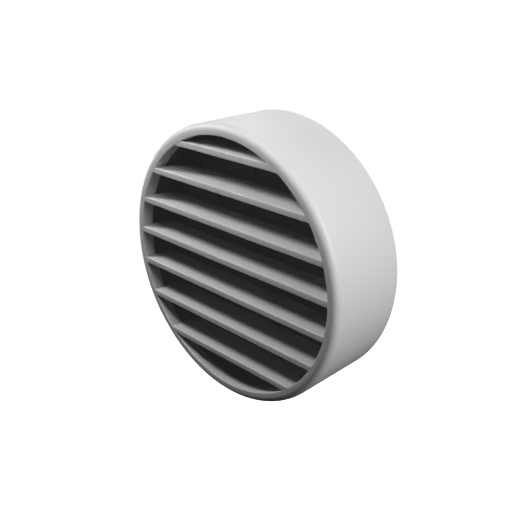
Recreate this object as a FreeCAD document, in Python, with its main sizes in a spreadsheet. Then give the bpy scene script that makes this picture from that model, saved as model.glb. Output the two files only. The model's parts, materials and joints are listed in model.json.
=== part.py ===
import FreeCAD, Part
import math
import os
import Sketcher
from FreeCAD import Vector

# Round louvred air diffuser for a ceiling or wall outlet, with a rotary volume damper.
# Units are millimetres, +Z is up.  The mounting face lies in the plane y = 0 and the
# louvred face looks along -Y, so "out" below means the distance in front of y = 0.

DIMENSIONS = [
    ("casing_radius", 80.0, "outside radius of the round casing"),
    ("face_out", 51.0, "mounting face to louvred face"),
    ("casing_wall", 1.5, "sheet thickness of the casing"),
    ("casing_rear_out", 0.8, "rear edge of the casing stands clear of the ceiling"),
    ("front_edge_radius", 3.8, "rounded front edge of the casing"),
    ("rear_edge_radius", 0.6, "rounded rear edge of the casing"),
    ("rim_radius", 73.7, "radius of the louvred opening"),
    ("rim_return", 7.5, "depth of the flange turned in around the opening"),
    ("rim_edge_radius", 0.4, "soft corner at the edge of the opening"),
    ("blade_count", 7, "number of louvre blades"),
    ("blade_pitch", 20.15, "blade spacing"),
    ("blade_top_height", 64.2, "height of the first blade above the axis"),
    ("blade_thickness", 3.4, "blade thickness"),
    ("blade_depth", 20.0, "blade depth from the face"),
    ("blade_end_gap", 0.05, "clearance at each blade end"),
    ("blade_edge_radius", 0.35, "soft front corners of a blade"),
    ("tab_length", 5.0, "width of the tab at each blade end"),
    ("tab_setback", 2.5, "rear edge of the blade to the tab"),
    ("tab_reach", 2.2, "how far a tab passes beyond the opening radius"),
    ("tab_slot_play", 0.1, "play around a tab in its slot"),
    ("carrier_wall", 1.4, "sheet thickness of the blade carrier"),
    ("carrier_flange_radius", 69.0, "inner radius of the carrier flange"),
    ("carrier_flange", 1.6, "thickness of the carrier flange"),
    ("damper_space", 4.0, "blade rear edge to the damper seat"),
    ("seat_radius", 78.2, "outer radius of the damper seat"),
    ("seat_thickness", 1.6, "thickness of the damper seat"),
    ("window_count", 8, "air windows in the seat and in the rotor"),
    ("window_half_angle", 10.0, "half angle of one window in degrees"),
    ("window_inner_radius", 16.0, "inner radius of a window"),
    ("window_outer_radius", 64.0, "outer radius of a window"),
    ("damper_travel", 22.5, "closed to fully open in degrees"),
    ("rotor_radius", 68.0, "radius of the damper rotor"),
    ("rotor_gap", 0.4, "seat to rotor"),
    ("rotor_thickness", 1.2, "thickness of the rotor"),
    ("rotor_bore_radius", 4.05, "bore of the rotor on its pivot"),
    ("pivot_radius", 4.0, "shoulder of the pivot pin"),
    ("pivot_thread_radius", 2.5, "thread of the pivot pin"),
    ("pivot_head_radius", 7.0, "head of the pivot pin"),
    ("pivot_head", 1.0, "thickness of the pivot pin head"),
    ("pivot_shoulder", 2.2, "length of the pivot pin shoulder"),
    ("pivot_thread", 5.8, "length of the pivot pin thread"),
    ("nut_across_flats", 8.0, "lock nut across flats"),
    ("nut_thickness", 3.2, "lock nut thickness"),
    ("spacer_radius", 9.0, "outer radius of the pivot spacer"),
    ("spacer_thickness", 0.3, "thickness of the pivot spacer"),
    ("washer_radius", 6.8, "outer radius of the friction washer"),
    ("washer_thickness", 0.3, "thickness of the friction washer"),
    ("washer_cone", 0.2, "height of the friction washer cone"),
    ("running_play", 0.05, "play beside parts that rub"),
    ("knob_offset", 48.0, "axis to the damper knob"),
    ("knob_width", 8.0, "width of the damper knob"),
    ("knob_height", 5.0, "height of the damper knob"),
    ("knob_length", 6.4, "how far the knob stands out of the rotor"),
    ("knob_edge_radius", 0.8, "soft corners of the knob"),
    ("knob_foot_width", 6.0, "width of the knob foot in the rotor"),
    ("knob_foot_height", 3.0, "height of the knob foot in the rotor"),
    ("fixing_radius", 71.5, "axis to the four carrier screws"),
    ("fixing_count", 4, "number of brackets and carrier screws"),
    ("bracket_width", 12.0, "width of a bracket"),
    ("bracket_sheet", 1.5, "sheet thickness of a bracket"),
    ("bracket_foot_radius", 68.0, "inner end of a bracket foot"),
    ("bracket_leg", 7.0, "length of a bracket leg along the casing"),
    ("screw_radius", 1.5, "carrier screw thread radius"),
    ("screw_hole_radius", 1.7, "clearance hole for a carrier screw"),
    ("screw_head_radius", 2.8, "carrier screw head radius"),
    ("screw_head", 1.8, "carrier screw head height"),
    ("screw_recess_radius", 0.9, "driver recess in the screw head"),
    ("screw_recess", 1.0, "depth of the driver recess"),
    ("screw_end", 0.8, "thread standing out of the carrier flange"),
    ("plate_out", 2.0, "rear of the mounting plate, on the gasket"),
    ("plate_sheet", 1.6, "sheet thickness of the mounting plate"),
    ("plate_radius", 78.2, "outer radius of the mounting plate"),
    ("plate_rim", 12.0, "height of the rim of the mounting plate"),
    ("plate_corner_radius", 1.2, "outer corner of the mounting plate"),
    ("plate_bore_radius", 62.1, "opening for the duct collar"),
    ("ceiling_hole_circle", 71.0, "axis to the four ceiling holes"),
    ("ceiling_hole_radius", 2.25, "ceiling screw hole radius"),
    ("ceiling_hole_count", 4, "number of ceiling screw holes"),
    ("gasket_inner_radius", 67.4, "inner radius of the ceiling gasket"),
    ("gasket_outer_radius", 76.6, "outer radius of the ceiling gasket"),
    ("collar_radius", 62.0, "outside radius of the duct collar"),
    ("collar_wall", 1.2, "sheet thickness of the duct collar"),
    ("collar_reach", 19.0, "how far the collar reaches behind the ceiling face"),
    ("collar_flange_radius", 67.0, "outer radius of the collar flange"),
    ("collar_rivet_circle", 64.6, "axis to the collar rivets"),
    ("collar_rivet_count", 6, "number of collar rivets"),
    ("rivet_radius", 1.2, "collar rivet shank radius"),
    ("rivet_head_radius", 2.0, "collar rivet head radius"),
    ("rivet_head", 0.8, "collar rivet head height"),
    ("rivet_tail_radius", 1.8, "collar rivet tail radius"),
    ("seal_front_reach", 5.0, "front of the seal behind the ceiling face"),
    ("seal_width", 8.0, "width of the seal on the collar"),
    ("seal_base", 1.0, "thickness of the seal base"),
    ("seal_lip", 2.6, "height of a seal lip above the collar"),
    ("seal_lip_thickness", 0.7, "thickness of a seal lip"),
    ("clip_count", 3, "number of spring clips"),
    ("clip_width", 9.0, "width of a spring clip"),
    ("clip_sheet", 0.5, "sheet thickness of a spring clip"),
    ("clip_foot_radius", 69.0, "inner end of a clip foot"),
    ("clip_leg_radius", 75.9, "outer face of a clip leg"),
    ("clip_nose_radius", 78.0, "tip of a clip nose"),
    ("clip_leg", 4.0, "height of the straight clip leg"),
    ("clip_nose", 6.8, "height of the clip nose"),
    ("clip_height", 9.6, "overall height of a clip"),
    ("clip_window_width", 11.0, "width of the window for a clip nose"),
    ("clip_window_low", 3.4, "lower edge of that window above the plate"),
    ("clip_window_high", 9.4, "upper edge of that window above the plate"),
    ("clip_rivet_circle", 72.4, "axis to the clip rivets"),
    ("clip_rivet_radius", 1.5, "clip rivet shank radius"),
    ("clip_rivet_head_radius", 2.5, "clip rivet head radius"),
    ("clip_rivet_head", 1.0, "clip rivet head height"),
]

os.makedirs("parts", exist_ok=True)
doc = FreeCAD.newDocument("louvred_air_diffuser")
sheet = doc.addObject("Spreadsheet::Sheet", "dim")
for row, (alias, value, note) in enumerate(DIMENSIONS, start=1):
    sheet.set(f"A{row}", note)
    sheet.set(f"B{row}", str(value))
    sheet.setAlias(f"B{row}", alias)
doc.recompute()

# Distances in front of the mounting face, written once and used by several sub-parts.
BLADE_REAR = "(dim.face_out - dim.blade_depth)"
SEAT_FRONT = "(dim.face_out - dim.blade_depth - dim.damper_space)"
SEAT_REAR = f"({SEAT_FRONT} - dim.seat_thickness)"
ROTOR_REAR = f"({SEAT_FRONT} + dim.rotor_gap)"
ROTOR_FRONT = f"({ROTOR_REAR} + dim.rotor_thickness)"
RETURN_REAR = "(dim.face_out - dim.rim_return)"
CASING_BORE = "(dim.casing_radius - dim.casing_wall)"
PLATE_FRONT = "(dim.plate_out + dim.plate_sheet)"
BRACKET_REAR = f"({SEAT_REAR} - dim.bracket_sheet)"
TAB_REAR = f"({BLADE_REAR} + dim.tab_setback)"
FAR_OUT = "(2 * dim.casing_radius)"


def number(expression):
    return float(sheet.evalExpression(expression))


def datum(body, role):
    return next(item for item in body.Origin.OriginFeatures if item.Role == role)


def new_body(name):
    body = doc.addObject("PartDesign::Body", name)
    body.Label = name
    return body


def new_sketch(body, name, role="XZ_Plane", out="0"):
    sketch = body.newObject("Sketcher::SketchObject", name)
    sketch.AttachmentSupport = (datum(body, role), [""])
    sketch.MapMode = "FlatFace"
    sketch.setExpression("AttachmentOffset.Base.z", out)
    return sketch


def bind(sketch, kind, geometry, point, expression):
    """Dimension one point or radius of a sketch from the sheet."""
    value = number(expression)
    if kind == "Radius":
        index = sketch.addConstraint(Sketcher.Constraint(kind, geometry, value))
    elif abs(value) < 1e-9:
        axis = -2 if kind == "DistanceX" else -1
        sketch.addConstraint(Sketcher.Constraint("PointOnObject", geometry, point, axis))
        return
    else:
        index = sketch.addConstraint(Sketcher.Constraint(kind, geometry, point, value))
    sketch.setExpression(f"Constraints[{index}]", expression)


def add_circle(sketch, radius, x="0", y="0"):
    centre = Vector(number(x), number(y), 0)
    circle = Part.Circle(centre, Vector(0, 0, 1), number(radius))
    geometry = sketch.addGeometry(circle, False)
    bind(sketch, "Radius", geometry, 0, radius)
    bind(sketch, "DistanceX", geometry, 3, x)
    bind(sketch, "DistanceY", geometry, 3, y)


def add_polygon(sketch, points):
    corners = [Vector(number(x), number(y), 0) for x, y in points]
    lines = []
    for index, corner in enumerate(corners):
        following = corners[(index + 1) % len(corners)]
        lines.append(sketch.addGeometry(Part.LineSegment(corner, following), False))
    for index, line in enumerate(lines):
        following = lines[(index + 1) % len(lines)]
        sketch.addConstraint(Sketcher.Constraint("Coincident", line, 2, following, 1))
    for line, (x, y) in zip(lines, points):
        bind(sketch, "DistanceX", line, 1, x)
        bind(sketch, "DistanceY", line, 1, y)


def add_rectangle(sketch, x_low, x_high, y_low, y_high):
    add_polygon(sketch, [(x_low, y_low), (x_high, y_low), (x_high, y_high), (x_low, y_high)])


def add_sector(sketch, middle_angle):
    """Annular window; the angle runs from +Z towards +X."""
    low = f"({middle_angle} - dim.window_half_angle)"
    high = f"({middle_angle} + dim.window_half_angle)"
    arcs = []
    for radius in ("dim.window_inner_radius", "dim.window_outer_radius"):
        circle = Part.Circle(Vector(0, 0, 0), Vector(0, 0, 1), number(radius))
        start = math.radians(90 - number(high))
        end = math.radians(90 - number(low))
        arc = sketch.addGeometry(Part.ArcOfCircle(circle, start, end), False)
        sketch.addConstraint(Sketcher.Constraint("Coincident", arc, 3, -1, 1))
        bind(sketch, "Radius", arc, 0, radius)
        bind(sketch, "DistanceX", arc, 1, f"{radius} * sin({high} * 1 deg)")
        bind(sketch, "DistanceX", arc, 2, f"{radius} * sin({low} * 1 deg)")
        arcs.append(arc)
    inner, outer = arcs
    for point in (1, 2):
        start = sketch.getPoint(inner, point)
        end = sketch.getPoint(outer, point)
        side = sketch.addGeometry(Part.LineSegment(start, end), False)
        sketch.addConstraint(Sketcher.Constraint("Coincident", side, 1, inner, point))
        sketch.addConstraint(Sketcher.Constraint("Coincident", side, 2, outer, point))


def pad(body, sketch, length, midplane=False):
    feature = body.newObject("PartDesign::Pad", f"{sketch.Name}_pad")
    feature.Profile = sketch
    feature.setExpression("Length", length)
    if midplane:
        feature.SideType = "Symmetric"
    doc.recompute()
    return feature


def pocket(body, sketch, length=None, midplane=False):
    """Cut towards the mounting face, through everything unless a length is given."""
    before = body.Shape.Volume
    feature = body.newObject("PartDesign::Pocket", f"{sketch.Name}_pocket")
    feature.Profile = sketch
    if length:
        feature.setExpression("Length", length)
    else:
        feature.Type = "ThroughAll"
    if midplane:
        feature.SideType = "Symmetric"
    doc.recompute()
    if body.Shape.Volume >= before:
        raise RuntimeError(f"{feature.Name} removes nothing")
    return feature


def revolve(body, sketch):
    feature = body.newObject("PartDesign::Revolution", f"{sketch.Name}_revolution")
    feature.Profile = sketch
    feature.ReferenceAxis = (sketch, ["H_Axis"])
    feature.Angle = 360
    doc.recompute()
    return feature


def fillet(body, radius, chosen):
    """Round every edge of the body that the test accepts."""
    base = body.Tip
    names = [f"Edge{i}" for i, edge in enumerate(base.Shape.Edges, start=1) if chosen(edge)]
    if not names:
        raise RuntimeError(f"{body.Name} has no edge to round")
    feature = body.newObject("PartDesign::Fillet", f"{body.Name}_{base.Name}_fillet")
    feature.Base = (base, names)
    feature.setExpression("Radius", radius)
    doc.recompute()


def around(body, features, count):
    """Repeat features evenly around the axis of the diffuser."""
    feature = body.newObject("PartDesign::PolarPattern", f"{features[0].Name}_around")
    feature.Originals = features
    feature.Axis = (datum(body, "Y_Axis"), [""])
    feature.Angle = 360
    feature.setExpression("Occurrences", count)
    body.Tip = feature
    doc.recompute()


def section(points):
    """Profile corners given as (radius, out) pairs, for a sketch on the YZ plane."""
    return [(f"-({out})", radius) for radius, out in points]


def ring(name, inner, outer, out, thickness):
    body = new_body(name)
    sketch = new_sketch(body, f"{name}_outline", out=out)
    add_circle(sketch, outer)
    add_circle(sketch, inner)
    pad(body, sketch, thickness)
    return body


def circular_edge(radius, out):
    """Edge test: a full circle of this radius lying this far in front."""
    def chosen(edge):
        curve = edge.Curve
        if not isinstance(curve, Part.Circle):
            return False
        same_radius = abs(curve.Radius - number(radius)) < 1e-3
        return same_radius and abs(curve.Center.y + number(out)) < 1e-3
    return chosen


# ---------------------------------------------------------------- mounting side

plate = new_body("mounting_plate")
profile = new_sketch(plate, "plate_profile", "YZ_Plane")
PLATE_RIM_OUT = f"({PLATE_FRONT} + dim.plate_rim - dim.plate_sheet)"
add_polygon(profile, section([
    ("dim.plate_bore_radius", "dim.plate_out"),
    ("dim.plate_radius", "dim.plate_out"),
    ("dim.plate_radius", PLATE_RIM_OUT),
    ("dim.plate_radius - dim.plate_sheet", PLATE_RIM_OUT),
    ("dim.plate_radius - dim.plate_sheet", PLATE_FRONT),
    ("dim.plate_bore_radius", PLATE_FRONT),
]))
revolve(plate, profile)
fillet(plate, "dim.plate_corner_radius", circular_edge("dim.plate_radius", "dim.plate_out"))

holes = new_sketch(plate, "ceiling_holes", out=PLATE_FRONT)
ON_DIAGONAL = "dim.ceiling_hole_circle * sin(45 deg)"
add_circle(holes, "dim.ceiling_hole_radius", ON_DIAGONAL, ON_DIAGONAL)
around(plate, [pocket(plate, holes)], "dim.ceiling_hole_count")

holes = new_sketch(plate, "collar_rivet_holes", out=PLATE_FRONT)
add_circle(holes, "dim.rivet_radius", "0", "dim.collar_rivet_circle")
around(plate, [pocket(plate, holes)], "dim.collar_rivet_count")

holes = new_sketch(plate, "clip_rivet_holes", out=PLATE_FRONT)
add_circle(holes, "dim.clip_rivet_radius", "0", "dim.clip_rivet_circle")
around(plate, [pocket(plate, holes)], "dim.clip_count")

windows = new_sketch(plate, "clip_windows", out=f"{PLATE_FRONT} + dim.clip_window_high")
add_rectangle(windows, "-dim.clip_window_width / 2", "dim.clip_window_width / 2",
              "dim.plate_radius - 2 * dim.plate_sheet", "dim.casing_radius")
window_depth = "dim.clip_window_high - dim.clip_window_low"
around(plate, [pocket(plate, windows, window_depth)], "dim.clip_count")

gasket = ring("ceiling_gasket", "dim.gasket_inner_radius", "dim.gasket_outer_radius",
              "0", "dim.plate_out")
holes = new_sketch(gasket, "gasket_holes", out="dim.plate_out")
add_circle(holes, "dim.ceiling_hole_radius", ON_DIAGONAL, ON_DIAGONAL)
around(gasket, [pocket(gasket, holes)], "dim.ceiling_hole_count")

collar = new_body("duct_collar")
profile = new_sketch(collar, "collar_profile", "YZ_Plane")
COLLAR_FRONT = f"({PLATE_FRONT} + dim.collar_wall)"
add_polygon(profile, section([
    ("dim.collar_radius - dim.collar_wall", "-dim.collar_reach"),
    ("dim.collar_radius", "-dim.collar_reach"),
    ("dim.collar_radius", PLATE_FRONT),
    ("dim.collar_flange_radius", PLATE_FRONT),
    ("dim.collar_flange_radius", COLLAR_FRONT),
    ("dim.collar_radius - dim.collar_wall", COLLAR_FRONT),
]))
revolve(collar, profile)
holes = new_sketch(collar, "collar_holes", out=COLLAR_FRONT)
add_circle(holes, "dim.rivet_radius", "0", "dim.collar_rivet_circle")
around(collar, [pocket(collar, holes)], "dim.collar_rivet_count")

seal = new_body("collar_seal")
profile = new_sketch(seal, "seal_profile", "YZ_Plane")
SEAL_REAR = "(-dim.seal_front_reach - dim.seal_width)"
LIP_TOP = "dim.collar_radius + dim.seal_lip"
LIP_FOOT = "dim.collar_radius + dim.seal_base"
add_polygon(profile, section([
    ("dim.collar_radius", "-dim.seal_front_reach"),
    ("dim.collar_radius", SEAL_REAR),
    (LIP_FOOT, SEAL_REAR),
    (LIP_FOOT, f"{SEAL_REAR} + dim.seal_width / 8"),
    (LIP_TOP, f"{SEAL_REAR} + dim.seal_width / 4"),
    (LIP_TOP, f"{SEAL_REAR} + dim.seal_width / 4 + dim.seal_lip_thickness"),
    (LIP_FOOT, f"{SEAL_REAR} + dim.seal_width / 8 + 2 * dim.seal_lip_thickness"),
    (LIP_FOOT, f"{SEAL_REAR} + dim.seal_width * 5 / 8"),
    (LIP_TOP, f"{SEAL_REAR} + dim.seal_width * 3 / 4"),
    (LIP_TOP, f"{SEAL_REAR} + dim.seal_width * 3 / 4 + dim.seal_lip_thickness"),
    (LIP_FOOT, f"{SEAL_REAR} + dim.seal_width * 5 / 8 + 2 * dim.seal_lip_thickness"),
    (LIP_FOOT, "-dim.seal_front_reach"),
]))
revolve(seal, profile)

rivets = new_body("collar_rivets")
shank = new_sketch(rivets, "collar_rivet_shank", out="dim.plate_out")
add_circle(shank, "dim.rivet_radius", "0", "dim.collar_rivet_circle")
head = new_sketch(rivets, "collar_rivet_head", out=COLLAR_FRONT)
add_circle(head, "dim.rivet_head_radius", "0", "dim.collar_rivet_circle")
tail = new_sketch(rivets, "collar_rivet_tail", out="dim.plate_out - dim.rivet_head")
add_circle(tail, "dim.rivet_tail_radius", "0", "dim.collar_rivet_circle")
rivet_pads = [
    pad(rivets, shank, f"{COLLAR_FRONT} - dim.plate_out"),
    pad(rivets, head, "dim.rivet_head"),
    pad(rivets, tail, "dim.rivet_head"),
]
around(rivets, rivet_pads, "dim.collar_rivet_count")

clips = new_body("spring_clips")
profile = new_sketch(clips, "clip_profile", "YZ_Plane")
LEG_INSIDE = "dim.clip_leg_radius - dim.clip_sheet"
add_polygon(profile, section([
    ("dim.clip_foot_radius", PLATE_FRONT),
    ("dim.clip_leg_radius", PLATE_FRONT),
    ("dim.clip_leg_radius", f"{PLATE_FRONT} + dim.clip_leg"),
    ("dim.clip_nose_radius", f"{PLATE_FRONT} + dim.clip_nose"),
    ("dim.clip_leg_radius", f"{PLATE_FRONT} + dim.clip_height"),
    (LEG_INSIDE, f"{PLATE_FRONT} + dim.clip_height"),
    ("dim.clip_nose_radius - 1.3 * dim.clip_sheet", f"{PLATE_FRONT} + dim.clip_nose"),
    (LEG_INSIDE, f"{PLATE_FRONT} + dim.clip_leg + dim.clip_sheet / 4"),
    (LEG_INSIDE, f"{PLATE_FRONT} + dim.clip_sheet"),
    ("dim.clip_foot_radius", f"{PLATE_FRONT} + dim.clip_sheet"),
]))
clip_pad = pad(clips, profile, "dim.clip_width", midplane=True)
hole = new_sketch(clips, "clip_hole", out=f"{PLATE_FRONT} + dim.clip_sheet")
add_circle(hole, "dim.clip_rivet_radius", "0", "dim.clip_rivet_circle")
clip_hole = pocket(clips, hole, "dim.clip_sheet")
around(clips, [clip_pad, clip_hole], "dim.clip_count")

clip_rivets = new_body("clip_rivets")
shank = new_sketch(clip_rivets, "clip_rivet_shank", out="dim.plate_out")
add_circle(shank, "dim.clip_rivet_radius", "0", "dim.clip_rivet_circle")
head = new_sketch(clip_rivets, "clip_rivet_head", out=f"{PLATE_FRONT} + dim.clip_sheet")
add_circle(head, "dim.clip_rivet_head_radius", "0", "dim.clip_rivet_circle")
rivet_pads = [
    pad(clip_rivets, shank, "dim.plate_sheet + dim.clip_sheet"),
    pad(clip_rivets, head, "dim.clip_rivet_head"),
]
around(clip_rivets, rivet_pads, "dim.clip_count")

# ---------------------------------------------------------------- face unit

casing = new_body("casing_drum")
profile = new_sketch(casing, "casing_profile", "YZ_Plane")
add_polygon(profile, section([
    ("dim.casing_radius", "dim.casing_rear_out"),
    ("dim.casing_radius", "dim.face_out"),
    ("dim.rim_radius", "dim.face_out"),
    ("dim.rim_radius", RETURN_REAR),
    ("dim.rim_radius + dim.carrier_wall", RETURN_REAR),
    ("dim.rim_radius + dim.carrier_wall", "dim.face_out - dim.casing_wall"),
    (CASING_BORE, "dim.face_out - dim.casing_wall"),
    (CASING_BORE, "dim.casing_rear_out"),
]))
revolve(casing, profile)
fillet(casing, "dim.front_edge_radius", circular_edge("dim.casing_radius", "dim.face_out"))
inner_corner = circular_edge(CASING_BORE, "dim.face_out - dim.casing_wall")
fillet(casing, "dim.front_edge_radius - dim.casing_wall", inner_corner)
fillet(casing, "dim.rim_edge_radius", circular_edge("dim.rim_radius", "dim.face_out"))
rear_edge = circular_edge("dim.casing_radius", "dim.casing_rear_out")
fillet(casing, "dim.rear_edge_radius", rear_edge)

carrier = new_body("blade_carrier")
profile = new_sketch(carrier, "carrier_profile", "YZ_Plane")
add_polygon(profile, section([
    ("dim.carrier_flange_radius", SEAT_FRONT),
    ("dim.rim_radius + dim.carrier_wall", SEAT_FRONT),
    ("dim.rim_radius + dim.carrier_wall", RETURN_REAR),
    ("dim.rim_radius", RETURN_REAR),
    ("dim.rim_radius", f"{SEAT_FRONT} + dim.carrier_flange"),
    ("dim.carrier_flange_radius", f"{SEAT_FRONT} + dim.carrier_flange"),
]))
revolve(carrier, profile)
slot = new_sketch(carrier, "tab_slot", "YZ_Plane")
SLOT_HALF = "dim.blade_thickness / 2 + dim.tab_slot_play"
add_rectangle(slot, f"-({TAB_REAR} + dim.tab_length + dim.tab_slot_play)",
              f"-({TAB_REAR} - dim.tab_slot_play)",
              f"dim.blade_top_height - ({SLOT_HALF})",
              f"dim.blade_top_height + ({SLOT_HALF})")
slot_pocket = pocket(carrier, slot, FAR_OUT, midplane=True)
slots = carrier.newObject("PartDesign::LinearPattern", "tab_slots")
slots.Originals = [slot_pocket]
slots.Direction = (datum(carrier, "Z_Axis"), [""])
slots.Reversed = True
slots.setExpression("Length", "dim.blade_pitch * (dim.blade_count - 1)")
slots.setExpression("Occurrences", "dim.blade_count")
carrier.Tip = slots
doc.recompute()
holes = new_sketch(carrier, "carrier_screw_holes", out=f"{SEAT_FRONT} + dim.carrier_flange")
add_circle(holes, "dim.screw_radius", "0", "dim.fixing_radius")
around(carrier, [pocket(carrier, holes, "dim.carrier_flange")], "dim.fixing_count")


def make_blade(number_in_row):
    """One flat louvre blade: straight bar, ends cut to the round opening, end tabs."""
    name = f"louvre_blade_{number_in_row}"
    height = f"(dim.blade_top_height - {number_in_row - 1} * dim.blade_pitch)"
    body = new_body(name)
    bar = new_sketch(body, f"{name}_bar", "YZ_Plane")
    add_rectangle(bar, "-dim.face_out", f"-{BLADE_REAR}",
                  f"{height} - dim.blade_thickness / 2",
                  f"{height} + dim.blade_thickness / 2")
    pad(body, bar, FAR_OUT, midplane=True)
    end_radius = "dim.rim_radius - dim.blade_end_gap"
    tab_front = f"{TAB_REAR} + dim.tab_length"
    cuts = [
        ("front", "dim.face_out", f"dim.face_out - ({tab_front})", end_radius),
        ("tab", tab_front, "dim.tab_length", "dim.rim_radius + dim.tab_reach"),
        ("rear", TAB_REAR, "dim.tab_setback", end_radius),
    ]
    for label, out, length, radius in cuts:
        trim = new_sketch(body, f"{name}_{label}", out=out)
        add_circle(trim, FAR_OUT)
        add_circle(trim, radius)
        pocket(body, trim, length)

    def front_corner(edge):
        box = edge.BoundBox
        straight = isinstance(edge.Curve, Part.Line)
        return straight and box.YLength < 1e-3 and abs(box.YMin + number("dim.face_out")) < 1e-3

    fillet(body, "dim.blade_edge_radius", front_corner)


for number_in_row in range(1, int(number("dim.blade_count")) + 1):
    make_blade(number_in_row)

seat = new_body("damper_seat")
outline = new_sketch(seat, "seat_outline", out=SEAT_REAR)
add_circle(outline, "dim.seat_radius")
add_circle(outline, "dim.pivot_thread_radius")
pad(seat, outline, "dim.seat_thickness")
window = new_sketch(seat, "seat_window", out=SEAT_FRONT)
add_sector(window, "(dim.damper_travel * 3 / 2)")
around(seat, [pocket(seat, window, "dim.seat_thickness")], "dim.window_count")
holes = new_sketch(seat, "seat_screw_holes", out=SEAT_FRONT)
add_circle(holes, "dim.screw_hole_radius", "0", "dim.fixing_radius")
around(seat, [pocket(seat, holes, "dim.seat_thickness")], "dim.fixing_count")

brackets = new_body("carrier_brackets")
profile = new_sketch(brackets, "bracket_profile", "YZ_Plane")
add_polygon(profile, section([
    ("dim.bracket_foot_radius", BRACKET_REAR),
    (f"{CASING_BORE} - dim.bracket_sheet", BRACKET_REAR),
    (f"{CASING_BORE} - dim.bracket_sheet", f"{BRACKET_REAR} - dim.bracket_leg"),
    ("dim.casing_radius", f"{BRACKET_REAR} - dim.bracket_leg"),
    ("dim.casing_radius", SEAT_REAR),
    ("dim.bracket_foot_radius", SEAT_REAR),
]))
bracket_pad = pad(brackets, profile, "dim.bracket_width", midplane=True)
trim = new_sketch(brackets, "bracket_trim", out=SEAT_REAR)
add_circle(trim, FAR_OUT)
add_circle(trim, CASING_BORE)
bracket_trim = pocket(brackets, trim)
hole = new_sketch(brackets, "bracket_hole", out=SEAT_REAR)
add_circle(hole, "dim.screw_hole_radius", "0", "dim.fixing_radius")
bracket_hole = pocket(brackets, hole, "dim.bracket_sheet")
around(brackets, [bracket_pad, bracket_trim, bracket_hole], "dim.fixing_count")

screws = new_body("carrier_screws")
shank = new_sketch(screws, "screw_shank", out=BRACKET_REAR)
add_circle(shank, "dim.screw_radius", "0", "dim.fixing_radius")
head = new_sketch(screws, "screw_head_outline", out=f"{BRACKET_REAR} - dim.screw_head")
add_circle(head, "dim.screw_head_radius", "0", "dim.fixing_radius")
SHANK_END = f"{SEAT_FRONT} + dim.carrier_flange + dim.screw_end"
shank_pad = pad(screws, shank, f"{SHANK_END} - {BRACKET_REAR}")
head_pad = pad(screws, head, "dim.screw_head")
recess = new_sketch(screws, "screw_recess_outline",
                    out=f"{BRACKET_REAR} - dim.screw_head + dim.screw_recess")
add_circle(recess, "dim.screw_recess_radius", "0", "dim.fixing_radius")
recess_pocket = pocket(screws, recess, "dim.screw_recess")
around(screws, [shank_pad, head_pad, recess_pocket], "dim.fixing_count")

pin = new_body("pivot_pin")
profile = new_sketch(pin, "pin_profile", "YZ_Plane")
HEAD_REAR = f"({SEAT_FRONT} + dim.pivot_shoulder)"
add_polygon(profile, section([
    ("0", f"{SEAT_FRONT} - dim.pivot_thread"),
    ("dim.pivot_thread_radius", f"{SEAT_FRONT} - dim.pivot_thread"),
    ("dim.pivot_thread_radius", SEAT_FRONT),
    ("dim.pivot_radius", SEAT_FRONT),
    ("dim.pivot_radius", HEAD_REAR),
    ("dim.pivot_head_radius", HEAD_REAR),
    ("dim.pivot_head_radius", f"{HEAD_REAR} + dim.pivot_head"),
    ("0", f"{HEAD_REAR} + dim.pivot_head"),
]))
revolve(pin, profile)

nut = new_body("pivot_nut")
outline = new_sketch(nut, "nut_outline", out=f"{SEAT_REAR} - dim.nut_thickness")
corner_radius = "dim.nut_across_flats / (2 * cos(30 deg))"
add_polygon(outline, [(f"{corner_radius} * cos({60 * k} deg)",
                       f"{corner_radius} * sin({60 * k} deg)") for k in range(6)])
add_circle(outline, "dim.pivot_thread_radius")
pad(nut, outline, "dim.nut_thickness")

ring("pivot_spacer", "dim.pivot_radius + dim.running_play", "dim.spacer_radius",
     SEAT_FRONT, "dim.spacer_thickness")

washer = new_body("friction_washer")
profile = new_sketch(washer, "washer_profile", "YZ_Plane")
WASHER_REAR = f"({ROTOR_FRONT} + dim.running_play)"
add_polygon(profile, section([
    ("dim.rotor_bore_radius", f"{WASHER_REAR} + dim.washer_cone"),
    ("dim.washer_radius", WASHER_REAR),
    ("dim.washer_radius", f"{WASHER_REAR} + dim.washer_thickness"),
    ("dim.rotor_bore_radius", f"{WASHER_REAR} + dim.washer_cone + dim.washer_thickness"),
]))
revolve(washer, profile)

# ---------------------------------------------------------------- damper rotor, closed

rotor = ring("damper_rotor", "dim.rotor_bore_radius", "dim.rotor_radius",
             ROTOR_REAR, "dim.rotor_thickness")
window = new_sketch(rotor, "rotor_window", out=ROTOR_FRONT)
add_sector(window, "dim.damper_travel")
around(rotor, [pocket(rotor, window)], "dim.window_count")
slot = new_sketch(rotor, "knob_slot", out=ROTOR_FRONT)
knob_foot = ("-dim.knob_foot_width / 2", "dim.knob_foot_width / 2",
             "-dim.knob_offset - dim.knob_foot_height / 2",
             "-dim.knob_offset + dim.knob_foot_height / 2")
add_rectangle(slot, *knob_foot)
pocket(rotor, slot)

knob = new_body("damper_knob")
foot = new_sketch(knob, "knob_foot", out=ROTOR_REAR)
add_rectangle(foot, *knob_foot)
pad(knob, foot, "dim.rotor_thickness")
grip = new_sketch(knob, "knob_grip", out=ROTOR_FRONT)
add_rectangle(grip, "-dim.knob_width / 2", "dim.knob_width / 2",
              "-dim.knob_offset - dim.knob_height / 2",
              "-dim.knob_offset + dim.knob_height / 2")
pad(knob, grip, "dim.knob_length")
GRIP_FRONT = f"{ROTOR_FRONT} + dim.knob_length"


def grip_corner(edge):
    return edge.BoundBox.YMin < -number(ROTOR_FRONT) - 1 or (
        edge.BoundBox.YMax < 1e-3 - number(GRIP_FRONT))


fillet(knob, "dim.knob_edge_radius", grip_corner)

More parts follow.
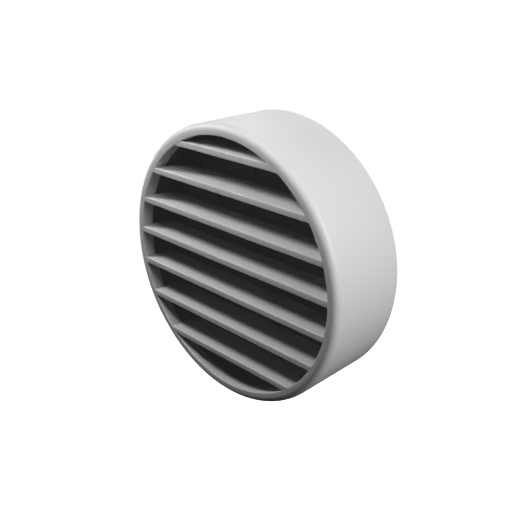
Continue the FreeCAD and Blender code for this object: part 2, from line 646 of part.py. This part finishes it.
# The knob stands half the travel to one side of the lowest point when the damper is shut.
for body in (rotor, knob):
    body.Placement = FreeCAD.Placement(Vector(0, 0, 0), FreeCAD.Rotation(Vector(0, -1, 0), 1))
    body.setExpression("Placement.Rotation.Angle", "dim.damper_travel / 2 * 1 deg")
doc.recompute()

bodies = [item for item in doc.Objects if item.TypeId == "PartDesign::Body"]
for item in doc.Objects:
    if "Invalid" in item.State or "Error" in item.State:
        raise RuntimeError(f"{item.Name} did not compute")
for body in bodies:
    if body.Shape.isNull() or not body.Shape.isValid():
        raise RuntimeError(f"{body.Name} is not a valid solid")
    body.Shape.exportStep(f"parts/{body.Name}.step")
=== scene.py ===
import json
import math

import bmesh
import bpy
from mathutils import Matrix, Vector


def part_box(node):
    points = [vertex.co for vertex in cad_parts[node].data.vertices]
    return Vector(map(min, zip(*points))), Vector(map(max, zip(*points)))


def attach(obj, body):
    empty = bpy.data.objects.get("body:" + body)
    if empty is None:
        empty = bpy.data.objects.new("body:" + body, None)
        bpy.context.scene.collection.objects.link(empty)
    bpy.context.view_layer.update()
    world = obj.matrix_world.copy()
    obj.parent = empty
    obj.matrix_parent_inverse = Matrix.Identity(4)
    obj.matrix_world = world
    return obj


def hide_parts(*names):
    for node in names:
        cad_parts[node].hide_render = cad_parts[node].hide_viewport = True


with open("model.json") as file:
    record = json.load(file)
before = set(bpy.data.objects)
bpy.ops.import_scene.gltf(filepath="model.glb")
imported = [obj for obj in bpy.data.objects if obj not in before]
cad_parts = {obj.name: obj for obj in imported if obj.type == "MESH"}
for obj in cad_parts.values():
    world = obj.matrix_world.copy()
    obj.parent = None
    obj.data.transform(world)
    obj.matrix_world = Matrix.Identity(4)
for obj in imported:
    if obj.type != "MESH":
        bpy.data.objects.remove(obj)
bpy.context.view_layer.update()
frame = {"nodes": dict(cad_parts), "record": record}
nodes = frame["nodes"]

# The diffuser's sizes are in millimetres. "out" is the distance from the ceiling into the room.
MM = 0.001
drum_low, drum_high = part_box("casing_drum")
R_OUT = round(drum_high.z / MM, 1)
FACE = round(-drum_low.y / MM, 1)
R_OPEN = 73.7
RIM_WALL = 1.4
CEILING_GAP = 0.8


# ---------------------------------------------------------------- small helpers

def new_object(name, mesh):
    obj = bpy.data.objects.new(name, mesh)
    bpy.context.scene.collection.objects.link(obj)
    return obj


def smooth_by_angle(obj, degrees=30):
    """Smooth shading, with every edge sharper than this kept crisp."""
    mesh = obj.data
    mesh.polygons.foreach_set("use_smooth", [True] * len(mesh.polygons))
    mesh.set_sharp_from_angle(angle=math.radians(degrees))
    mesh.update()


def arc(centre, radius, start, end, steps):
    """Points of an arc in the (radius, out) plane, angles in degrees."""
    points = []
    for i in range(steps + 1):
        a = math.radians(start + (end - start) * i / steps)
        points.append((centre[0] + radius * math.cos(a), centre[1] + radius * math.sin(a)))
    return points


def skin(bm, rings, ends=True):
    """Quads between each ring of vertices and the next, and a face over each end."""
    for a, b in zip(rings, rings[1:]):
        for k in range(len(a)):
            m = (k + 1) % len(a)
            bm.faces.new((a[k], a[m], b[m], b[k]))
    if ends:
        bm.faces.new(list(reversed(rings[0])))
        bm.faces.new(rings[-1])


def finished(name, bm):
    """New mesh of this bmesh, with every face turned outward."""
    bmesh.ops.recalc_face_normals(bm, faces=bm.faces)
    mesh = bpy.data.meshes.new(name)
    bm.to_mesh(mesh)
    bm.free()
    return mesh


def revolve(name, profile, segments):
    """Closed (radius, out) profile in millimetres turned about the diffuser's axis."""
    bm = bmesh.new()
    rings = []
    for i in range(segments):
        a = 2 * math.pi * i / segments
        rings.append([bm.verts.new((radius * MM * math.sin(a), -out * MM, radius * MM * math.cos(a)))
                      for radius, out in profile])
    skin(bm, rings + rings[:1], ends=False)
    obj = new_object(name, finished(name, bm))
    smooth_by_angle(obj)
    return obj


# ---------------------------------------------------------------- materials

class Nodes:
    """A little shorthand for building one node material."""

    def __init__(self, name):
        self.material = bpy.data.materials.new(name)
        self.material.use_nodes = True
        self.tree = self.material.node_tree
        self.shader = self.tree.nodes["Principled BSDF"]
        coords = self.tree.nodes.new("ShaderNodeTexCoord")
        self.place = coords.outputs["Object"]

    def add(self, kind):
        return self.tree.nodes.new(kind)

    def link(self, a, b):
        self.tree.links.new(a, b)

    def stretched(self, scale):
        node = self.add("ShaderNodeMapping")
        node.inputs["Scale"].default_value = scale
        self.link(self.place, node.inputs["Vector"])
        return node.outputs["Vector"]

    def noise(self, scale, detail=3.0, rough=0.5, vector=None):
        node = self.add("ShaderNodeTexNoise")
        node.inputs["Scale"].default_value = scale
        node.inputs["Detail"].default_value = detail
        node.inputs["Roughness"].default_value = rough
        self.link(vector or self.place, node.inputs["Vector"])
        return node.outputs["Fac"]

    def ramp(self, factor, low, high, start=0.3, end=0.7):
        """Colour from low to high; plain numbers give a grey."""
        node = self.add("ShaderNodeValToRGB")
        stops = node.color_ramp.elements
        for stop, position, value in ((stops[0], start, low), (stops[1], end, high)):
            stop.position = position
            grey = isinstance(value, (int, float))
            stop.color = (value, value, value, 1) if grey else (*value, 1)
        self.link(factor, node.inputs["Fac"])
        return node.outputs["Color"]

    def bump(self, height, strength, distance, below=None):
        node = self.add("ShaderNodeBump")
        node.inputs["Strength"].default_value = strength
        node.inputs["Distance"].default_value = distance
        self.link(height, node.inputs["Height"])
        if below:
            self.link(below, node.inputs["Normal"])
        return node.outputs["Normal"]

    def set(self, **values):
        """Shader values that are the same all over the surface."""
        names = {"metallic": "Metallic", "roughness": "Roughness", "specular": "Specular IOR Level"}
        for key, value in values.items():
            self.shader.inputs[names[key]].default_value = value


def powder_coat(name, dark, light, rough, grain, specular):
    """Sprayed coat: slow drift in tone, fine orange peel, a little difference in gloss."""
    n = Nodes(name)
    gloss_spread = 0.035
    drift = n.noise(scale=9.0, detail=4.0)
    n.link(n.ramp(drift, dark, light), n.shader.inputs["Base Color"])
    gloss = n.noise(scale=60.0, detail=5.0)
    n.link(n.ramp(gloss, rough - gloss_spread, rough + gloss_spread), n.shader.inputs["Roughness"])
    peel = n.bump(n.noise(scale=1500.0, detail=2.0), strength=grain, distance=0.00006)
    dust = n.noise(scale=5200.0, detail=2.0)
    n.link(n.bump(dust, strength=grain * 0.5, distance=0.00002, below=peel),
           n.shader.inputs["Normal"])
    n.set(specular=specular)
    return n.material


def sheet_metal(name, dark, light, rough, grain_scale, spangle=0.0):
    """Bare or plated metal: drawn grain, and crystal spangle where it is galvanised."""
    n = Nodes(name)
    if spangle:
        cells = n.add("ShaderNodeTexVoronoi")
        cells.inputs["Scale"].default_value = spangle
        n.link(n.place, cells.inputs["Vector"])
        split = n.add("ShaderNodeSeparateColor")
        n.link(cells.outputs["Color"], split.inputs["Color"])
        tone = split.outputs["Red"]
        n.link(n.ramp(tone, dark, light, start=0.0, end=1.0), n.shader.inputs["Base Color"])
        n.link(n.ramp(tone, rough + 0.1, rough - 0.08, start=0.0, end=1.0),
               n.shader.inputs["Roughness"])
    else:
        tone = n.noise(scale=180.0, detail=4.0)
        n.link(n.ramp(tone, dark, light), n.shader.inputs["Base Color"])
        dulling = n.noise(scale=420.0, detail=4.0)
        n.link(n.ramp(dulling, rough - 0.06, rough + 0.1), n.shader.inputs["Roughness"])
    grain = n.noise(scale=1.0, vector=n.stretched(grain_scale))
    n.link(n.bump(grain, strength=0.25, distance=0.00004), n.shader.inputs["Normal"])
    n.set(metallic=1.0)
    return n.material


def moulded(name, dark, light, rough):
    """Moulded plastic or rubber with a fine eroded texture."""
    n = Nodes(name)
    gloss_spread = 0.06
    n.link(n.ramp(n.noise(scale=70.0, detail=5.0), dark, light), n.shader.inputs["Base Color"])
    gloss = n.noise(scale=240.0, detail=4.0)
    n.link(n.ramp(gloss, rough - gloss_spread, rough + gloss_spread), n.shader.inputs["Roughness"])
    texture = n.noise(scale=900.0, detail=4.0, rough=0.6)
    n.link(n.bump(texture, strength=0.35, distance=0.00008), n.shader.inputs["Normal"])
    n.set(specular=0.4)
    return n.material


def cell_foam(name):
    """Closed cell foam: small round pores of uneven size in a dark rubbery skin, the pores painted
    darker as painted shade in their hollows.
    """
    n = Nodes(name)
    pores = n.add("ShaderNodeTexVoronoi")
    pores.inputs["Scale"].default_value = 1300.0
    n.link(n.place, pores.inputs["Vector"])
    # The pore centres are painted darker than the skin: painted shade in the hollows of the pores.
    painted_pore_shade, skin_grey = (0.012, 0.012, 0.013), (0.075, 0.076, 0.08)
    tone = n.ramp(pores.outputs["Distance"], painted_pore_shade, skin_grey, start=0.1, end=0.5)
    n.link(tone, n.shader.inputs["Base Color"])
    soft = n.bump(n.noise(scale=130.0), strength=0.3, distance=0.0004)
    depth = n.ramp(pores.outputs["Distance"], 0.0, 1.0, start=0.1, end=0.55)
    n.link(n.bump(depth, strength=0.6, distance=0.00025, below=soft), n.shader.inputs["Normal"])
    n.set(roughness=0.92, specular=0.25)
    return n.material


FINISH_OF_SLOT = {
    "white_coat": powder_coat("white_powder_coat", (0.510, 0.511, 0.512), (0.530, 0.530, 0.530),
                              rough=0.47, grain=0.22, specular=0.4),
    "black_coat": powder_coat("black_powder_coat", (0.030, 0.030, 0.031), (0.038, 0.038, 0.039),
                              rough=0.75, grain=0.3, specular=0.2),
    "zinc_sheet": sheet_metal("galvanised_sheet", (0.42, 0.44, 0.46), (0.60, 0.62, 0.63),
                              rough=0.42, grain_scale=(90.0, 900.0, 90.0), spangle=160.0),
    "plated_steel": sheet_metal("zinc_plated_steel", (0.50, 0.50, 0.47), (0.68, 0.67, 0.63),
                                rough=0.3, grain_scale=(900.0, 150.0, 900.0)),
    "spring_steel": sheet_metal("spring_steel", (0.22, 0.23, 0.25), (0.38, 0.39, 0.42),
                                rough=0.28, grain_scale=(1400.0, 60.0, 60.0)),
    "black_oxide": sheet_metal("black_oxide_steel", (0.02, 0.02, 0.022), (0.045, 0.045, 0.05),
                               rough=0.55, grain_scale=(800.0, 800.0, 800.0)),
    "seal_rubber": moulded("lip_seal_rubber", (0.014, 0.014, 0.014), (0.035, 0.035, 0.036),
                           rough=0.6),
    "black_plastic": moulded("black_knob_plastic", (0.010, 0.010, 0.010), (0.018, 0.018, 0.018),
                             rough=0.62),
    "nylon": moulded("natural_nylon", (0.68, 0.66, 0.60), (0.78, 0.76, 0.71), rough=0.45),
    "foam": cell_foam("gasket_foam"),
}


def paint(obj, material):
    obj.data.materials.clear()
    obj.data.materials.append(material)


def place(obj, body, node, slot_name):
    """Finish, body and CAD node of a new piece, in one go."""
    paint(obj, FINISH_OF_SLOT[slot_name])
    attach(obj, body)
    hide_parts(node)
    return obj


for entry in frame["record"]["subparts"]:
    paint(nodes[entry["node"]], FINISH_OF_SLOT[entry["material_slot"]])
    smooth_by_angle(nodes[entry["node"]])


# ---------------------------------------------------------------- casing drum

def casing_profile():
    """Sheet section of the drum, from the rear edge forward, round the face and back."""
    wall, front_radius, rear_radius, rim_radius = 1.5, 3.8, 0.6, 0.4
    rim_depth = 7.5
    inner_radius = front_radius - wall
    bore = R_OUT - wall
    section = arc((R_OUT - rear_radius, CEILING_GAP + rear_radius), rear_radius, -90, 0, 5)
    section += [(R_OUT, FACE * share) for share in (0.25, 0.5, 0.75)]
    section += arc((R_OUT - front_radius, FACE - front_radius), front_radius, 0, 90, 18)
    section += arc((R_OPEN + rim_radius, FACE - rim_radius), rim_radius, 90, 180, 5)
    section += [(R_OPEN, FACE - rim_depth / 2), (R_OPEN, FACE - rim_depth)]
    section += [(R_OPEN + RIM_WALL, FACE - rim_depth), (R_OPEN + RIM_WALL, FACE - wall)]
    section += arc((bore - inner_radius, FACE - wall - inner_radius), inner_radius, 90, 0, 10)
    section += [(bore, FACE / 2), (bore, CEILING_GAP)]
    return section


casing = revolve("casing_shell", casing_profile(), segments=360)
place(casing, "face_unit", "casing_drum", "white_coat")


# ---------------------------------------------------------------- louvre blades

def blade_mesh(name, low, high, rear):
    """Flat bar with soft long corners and a tab at each end, its ends cut to the round opening."""
    end_gap, corner, rear_bevel, columns = 0.02, 0.35, 0.2, 24
    tab_setback, tab_length, tab_reach, tab_root = 2.5, 5.0, 2.2, 0.5
    end_radius = R_OPEN - end_gap
    box_faces = ((0, 1, 3, 2), (4, 6, 7, 5), (0, 4, 5, 1), (2, 3, 7, 6), (0, 2, 6, 4), (1, 5, 7, 3))
    section = arc((FACE - corner, low + corner), corner, -90, 0, 5)
    section += arc((FACE - corner, high - corner), corner, 0, 90, 5)
    section += [(rear + rear_bevel, high), (rear, high - rear_bevel)]
    section += [(rear, low + rear_bevel), (rear + rear_bevel, low)]
    bm = bmesh.new()
    rings = []
    for c in range(columns + 1):
        share = -1 + 2 * c / columns
        ring = []
        for out, z in section:
            half = math.sqrt(end_radius ** 2 - z ** 2)
            ring.append(bm.verts.new((share * half * MM, -out * MM, z * MM)))
        rings.append(ring)
    skin(bm, rings)
    for side in (-1, 1):
        corners = []
        for out in (rear + tab_setback, rear + tab_setback + tab_length):
            for z in (low, high):
                inner = side * (math.sqrt(end_radius ** 2 - z ** 2) - tab_root)
                outer = side * math.sqrt((R_OPEN + tab_reach) ** 2 - z ** 2)
                for x in (inner, outer):
                    corners.append(bm.verts.new((x * MM, -out * MM, z * MM)))
        for quad in box_faces:
            bm.faces.new([corners[i] for i in quad])
    return finished(name, bm)


for k in range(1, 8):
    low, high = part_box(f"louvre_blade_{k}")
    mesh = blade_mesh(f"blade_{k}", low.z / MM, high.z / MM, -high.y / MM)
    blade = new_object(f"blade_{k}", mesh)
    smooth_by_angle(blade)
    place(blade, "face_unit", f"louvre_blade_{k}", "white_coat")


# ---------------------------------------------------------------- mounting side

def ring_copies(mesh, angles):
    """One mesh holding a copy of this mesh turned to each angle about the diffuser's axis."""
    bm = bmesh.new()
    for degrees in angles:
        start = len(bm.verts)
        bm.from_mesh(mesh)
        bm.verts.ensure_lookup_table()
        turn = Matrix.Rotation(math.radians(degrees), 3, "Y")
        bmesh.ops.rotate(bm, verts=bm.verts[start:], matrix=turn)
    bm.to_mesh(mesh)
    bm.free()
    return mesh


def turned(name, profile, radius, segments=40):
    """Small round part whose axis lies `radius` above the diffuser's axis."""
    bm = bmesh.new()
    rings = []
    for r, out in profile:
        ring = []
        for i in range(segments):
            a = 2 * math.pi * i / segments
            x, z = r * math.sin(a), radius + r * math.cos(a)
            ring.append(bm.verts.new((x * MM, -out * MM, z * MM)))
        rings.append(ring)
    skin(bm, rings)
    return finished(name, bm)


def rounded_path(points, radii):
    """Open path through (radius, out) points with its corners turned to arcs."""
    steps = 6
    path = [Vector(points[0])]
    for before, corner, after, radius in zip(points, points[1:], points[2:], radii):
        corner = Vector(corner)
        a = (Vector(before) - corner).normalized()
        b = (Vector(after) - corner).normalized()
        half = a.angle(b) / 2
        reach = radius / math.tan(half)
        centre = corner + (a + b).normalized() * (radius / math.sin(half))
        first = corner + a * reach - centre
        last = corner + b * reach - centre
        for i in range(steps + 1):
            path.append(centre + first.slerp(last, i / steps))
    path.append(Vector(points[-1]))
    return path


def bent_strip(name, points, radii, thickness, width):
    """Spring strip bent along a path in the (radius, out) plane, its width along X."""
    corner, taper = 1.0, 0.6  # near an end each side narrows, by taper of what is left of corner
    path = rounded_path(points, radii)
    bm = bmesh.new()
    rows = []
    for i, point in enumerate(path):
        ahead = path[min(i + 1, len(path) - 1)] - path[max(i - 1, 0)]
        side = Vector((-ahead.y, ahead.x)).normalized() * thickness / 2
        end = min((point - path[0]).length, (point - path[-1]).length)
        half = width / 2 - max(0.0, corner - end) * taper
        row = []
        for sign, x in ((1, -half), (1, half), (-1, half), (-1, -half)):
            spot = point + side * sign
            row.append(bm.verts.new((x * MM, -spot.y * MM, spot.x * MM)))
        rows.append(row)
    skin(bm, rows)
    return finished(name, bm)


COLLAR = 62.0
COLLAR_SHEET = 1.2


def collar_profile():
    """Tube into the duct, its front end flared out flat against the front of the plate."""
    bore, end, flange, front, bevel, bend = COLLAR - COLLAR_SHEET, -19.0, 67.0, 4.8, 0.2, 1.5
    rear = front - COLLAR_SHEET
    section = [(bore, end + bevel), (bore + bevel, end), (COLLAR - bevel, end)]
    section += [(COLLAR, end + bevel), (COLLAR, rear), (flange - bevel, rear)]
    section += [(flange, rear + bevel), (flange, front - bevel), (flange - bevel, front)]
    return section + arc((bore + bend, front - bend), bend, 90, 180, 8)


collar = revolve("collar_tube", collar_profile(), segments=240)
place(collar, "mounting_side", "duct_collar", "zinc_sheet")


def seal_profile():
    """Rubber sleeve with two soft lips that lean back towards the ceiling."""
    base, foot, tip, soft = COLLAR, COLLAR + 1.0, COLLAR + 2.5, 0.3
    rear, front, first_lip, lip_pitch = -13.0, -5.0, -12.1, 4.0
    points = [(base, rear), (foot - soft, rear), (foot, rear + soft)]
    for start in (first_lip, first_lip + lip_pitch):
        points += [(foot, start), (foot + 0.35, start + 0.28), (foot + 0.9, start + 0.75)]
        points += [(tip - 0.1, start + 1.2), (tip + 0.1, start + 1.5), (tip, start + 1.75)]
        points += [(foot + 1.0, start + 1.65), (foot + 0.4, start + 1.45), (foot, start + 1.9)]
    return points + [(foot, front - soft), (foot - soft, front), (base, front)]


seal = revolve("lip_seal", seal_profile(), segments=240)
place(seal, "mounting_side", "collar_seal", "seal_rubber")


def foam_ring():
    """Ring cut from foam sheet: soft corners, a wavy ceiling side and outer edge, four holes."""
    hole_radius, hole_circle, hole_count = 2.25, 71.0, 4
    near_ceiling, edge_from, edge_centre, edge_width = -1.5, 75.8, 72.0, 4.0
    obj = revolve("foam_ring", [
        (67.4, 1.7), (67.5, 0.35), (67.9, 0.1), (69.5, 0.02), (71.0, 0.0), (72.5, 0.0), (74.5, 0.02),
        (76.1, 0.1), (76.5, 0.35), (76.6, 1.7), (76.4, 2.0), (74.0, 2.0), (71.0, 2.0), (67.6, 2.0),
    ], segments=360)
    for vert in obj.data.vertices:
        radius = math.hypot(vert.co.x, vert.co.z)
        angle = math.atan2(vert.co.x, vert.co.z)
        if vert.co.y > near_ceiling * MM:
            ripple = math.sin(angle * 23) + 0.6 * math.sin(angle * 41 + 1.3)
            vert.co.y -= (0.05 + 0.03 * ripple) * MM
        if radius > edge_from * MM:
            share = (radius - edge_centre * MM) / (edge_width * MM)
            pull = 1 + 0.0012 * math.sin(angle * 17 + 0.7) * share
            vert.co.x *= pull
            vert.co.z *= pull
    for k in range(hole_count):
        angle = 2 * math.pi * (k + 0.5) / hole_count
        bpy.ops.mesh.primitive_cylinder_add(
            vertices=32, radius=hole_radius * MM, depth=20.0 * MM, rotation=(math.pi / 2, 0, 0),
            location=(hole_circle * MM * math.sin(angle), 0, hole_circle * MM * math.cos(angle)))
        drill = bpy.context.object
        cut = obj.modifiers.new("hole", "BOOLEAN")
        cut.operation = "DIFFERENCE"
        cut.solver = "EXACT"
        cut.object = drill
        bpy.context.view_layer.update()
        graph = bpy.context.evaluated_depsgraph_get()
        cut_mesh = bpy.data.meshes.new_from_object(obj.evaluated_get(graph))
        obj.modifiers.clear()
        obj.data = cut_mesh
        bpy.data.objects.remove(drill)
    smooth_by_angle(obj, 40)
    return obj


foam = place(foam_ring(), "mounting_side", "ceiling_gasket", "foam")


def small_parts(name, one, count, body, node, slot_name):
    """Equal small parts in a ring, made from the mesh of one and placed as one piece."""
    step = 360 // count
    obj = new_object(name, ring_copies(one, range(0, 360, step)))
    smooth_by_angle(obj, 35)
    return place(obj, body, node, slot_name)


# Outlines of small turned parts are (radius about the part's own axis, out).
COLLAR_RIVET_CIRCLE = 64.6
collar_rivet = [(0.3, 5.6), (0.9, 5.55), (1.4, 5.38), (1.8, 5.1), (2.0, 4.8), (1.2, 4.8),
                (1.2, 2.0), (1.8, 2.0), (1.7, 1.5), (1.3, 1.25), (0.4, 1.2)]
small_parts("dome_rivets", turned("dome_rivets", collar_rivet, COLLAR_RIVET_CIRCLE), 6,
            "mounting_side", "collar_rivets", "plated_steel")

CLIP_RIVET_CIRCLE = 72.4
clip_rivet = [(0.3, 5.1), (1.2, 5.05), (1.9, 4.8), (2.35, 4.4), (2.5, 4.1), (1.5, 4.1), (1.5, 2.0)]
small_parts("clip_dome_rivets", turned("clip_dome_rivets", clip_rivet, CLIP_RIVET_CIRCLE), 3,
            "mounting_side", "clip_rivets", "plated_steel")

CLIP_SHEET = 0.5
CLIP_WIDTH = 9.0
clip_path = [(69.0, 3.85), (75.65, 3.85), (75.65, 7.3), (77.72, 10.3), (75.6, 13.1)]
clip_bends = [0.8, 1.6, 1.3]
clip_strip = bent_strip("clip_strips", clip_path, clip_bends, CLIP_SHEET, CLIP_WIDTH)
small_parts("clip_strips", clip_strip, 3, "mounting_side", "spring_clips", "spring_steel")


# ---------------------------------------------------------------- small parts of the face unit

SCREW_CIRCLE = 71.5
pan_screw = [(0.9, 23.0), (0.9, 22.1), (2.1, 22.1), (2.6, 22.5), (2.8, 23.2), (2.75, 23.7),
             (2.6, 23.9), (1.5, 23.9), (1.5, 29.0), (1.25, 29.35), (0.4, 29.4)]
small_parts("pan_screws", turned("pan_screws", pan_screw, SCREW_CIRCLE), 4,
            "face_unit", "carrier_screws", "plated_steel")

seat_low, seat_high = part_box("damper_seat")
SEAT_FRONT = round(-seat_low.y / MM, 1)
SEAT_REAR = round(-seat_high.y / MM, 1)
THREAD_RADIUS = 2.5


def pin_outline():
    """Thread through the seat, shoulder for the rotor, flat head with a soft edge."""
    shoulder, head, core, end, neck = THREAD_RADIUS + 1.5, 7.0, 0.5, SEAT_FRONT - 5.8, SEAT_FRONT + 2.2
    top = neck + 1.0
    points = [(core, end), (THREAD_RADIUS - 0.4, end), (THREAD_RADIUS, end + 0.5)]
    points += [(THREAD_RADIUS, SEAT_FRONT), (shoulder, SEAT_FRONT), (shoulder, neck)]
    points += [(head - 0.2, neck), (head, neck + 0.15), (head, top - 0.4)]
    return points + [(head - 0.3, top - 0.12), (head - 1.4, top), (core, top)]


pin = new_object("headed_pin", turned("headed_pin", pin_outline(), 0.0, 64))
smooth_by_angle(pin, 35)
place(pin, "face_unit", "pivot_pin", "black_oxide")


def lock_nut():
    """Hexagon nut, its rear corners turned off round the way a real nut's are."""
    flats, height, bore, chamfer, steps = 4.0, 3.2, THREAD_RADIUS, 0.1, 12
    front, rear = SEAT_REAR, SEAT_REAR - height
    bm = bmesh.new()
    rows = [[] for _ in range(4)]
    for i in range(6 * steps):
        a = 2 * math.pi * i / (6 * steps)
        off_flat = (a % (math.pi / 3)) - math.pi / 6
        radius = flats / math.cos(off_flat)
        drop = max(0.0, radius - flats - chamfer / 2) * 0.8
        outline = ((radius, front), (radius, rear + drop), (flats - chamfer, rear), (bore, rear))
        for row, (r, out) in zip(rows, outline):
            row.append(bm.verts.new((r * math.cos(a) * MM, -out * MM, r * math.sin(a) * MM)))
    rows.append([bm.verts.new((v.co.x, -front * MM, v.co.z)) for v in rows[3]])
    skin(bm, rows + rows[:1], ends=False)
    return finished("lock_nut", bm)


nut = new_object("lock_nut", lock_nut())
smooth_by_angle(nut, 25)
place(nut, "face_unit", "pivot_nut", "plated_steel")


# ---------------------------------------------------------------- light, floor, camera

scene = bpy.context.scene
scene.view_settings.view_transform = "Standard"
scene.view_settings.use_curve_mapping = True
# The photo's darkest tone is a lifted grey, so black comes out as this much of white.
BLACK_LEVEL = 0.012
tones = scene.view_settings.curve_mapping
tones.curves[3].points[0].location = (0.0, BLACK_LEVEL)
tones.update()

world = bpy.data.worlds.new("studio")
scene.world = world
world.use_nodes = True
world.node_tree.nodes["Background"].inputs["Color"].default_value = (1, 1, 1, 1)
world.node_tree.nodes["Background"].inputs["Strength"].default_value = 1.0
# The white world is only the backdrop that the camera sees. It lights nothing.
for kind in ("diffuse", "glossy", "transmission", "scatter", "shadow"):
    if hasattr(world.cycles_visibility, kind):
        setattr(world.cycles_visibility, kind, False)

CENTRE = Vector((0.0, -(CEILING_GAP + FACE) / 2 * MM, 0.0))
LOUVRES = (0.0, -FACE * MM, 0.0)


def area_light(name, position, target, size, watts):
    """Round soft light at a position in metres, turned to the target."""
    data = bpy.data.lights.new(name, "AREA")
    data.shape = "DISK"
    data.size = size
    data.energy = watts
    obj = bpy.data.objects.new(name, data)
    scene.collection.objects.link(obj)
    obj.location = position
    direction = Vector(target) - Vector(position)
    obj.rotation_mode = "QUATERNION"
    obj.rotation_quaternion = direction.to_track_quat("-Z", "Y")


area_light("side_right", (0.33, -0.01, 0.11), LOUVRES, size=0.12, watts=0.25)
area_light("side_far", (0.78, -0.02, 0.46), LOUVRES, size=0.3, watts=6.2)
area_light("side_low", (0.43, 0.73, -0.23), LOUVRES, size=0.5, watts=0.10)
area_light("front_left", (-0.80, -1.41, 0.14), LOUVRES, size=0.3, watts=0.8)
area_light("over_left", (-0.18, -0.127, 0.18), LOUVRES, size=0.06, watts=0.46)
area_light("over_right", (0.05, -0.130, 0.19), LOUVRES, size=0.06, watts=0.14)
area_light("back_fill", (-0.35, 0.85, 0.25), CENTRE, size=1.1, watts=6.0)
area_light("left_fill", (-0.85, 0.40, -0.40), CENTRE, size=0.9, watts=4.0)
area_light("behind", (-0.20, 0.95, -0.12), CENTRE, size=0.9, watts=4.5)

FLOOR_HALF = 6.0
FLOOR_HEIGHT = -0.5
floor_mesh = bpy.data.meshes.new("floor")
floor_corners = [(x * FLOOR_HALF, y * FLOOR_HALF, FLOOR_HEIGHT)
                 for x, y in ((-1, -1), (1, -1), (1, 1), (-1, 1))]
floor_mesh.from_pydata(floor_corners, [], [(0, 1, 2, 3)])
floor = new_object("floor", floor_mesh)
floor_look = Nodes("pale_floor")
floor_look.shader.inputs["Emission Color"].default_value = (1, 1, 1, 1)
floor_look.shader.inputs["Emission Strength"].default_value = 1.0
floor_tone = floor_look.ramp(floor_look.noise(2.0), 0.93, 0.95)
floor_look.link(floor_tone, floor_look.shader.inputs["Base Color"])
paint(floor, floor_look.material)
floor.visible_diffuse = False
floor.visible_glossy = False
floor.visible_shadow = False

camera_data = bpy.data.cameras.new("camera")
camera_data.lens = 50.26
camera_data.sensor_width = 36.0
camera_data.clip_start = 0.01
camera_data.clip_end = 20.0
camera = bpy.data.objects.new("camera", camera_data)
scene.collection.objects.link(camera)
toward_camera = Vector((0.6505, -0.6514, 0.3905)).normalized()
CAMERA_DISTANCE = 5.145 * R_OUT * MM
camera.location = CENTRE + toward_camera * CAMERA_DISTANCE
camera.rotation_mode = "QUATERNION"
camera.rotation_quaternion = toward_camera.to_track_quat("Z", "Y")
scene.camera = camera
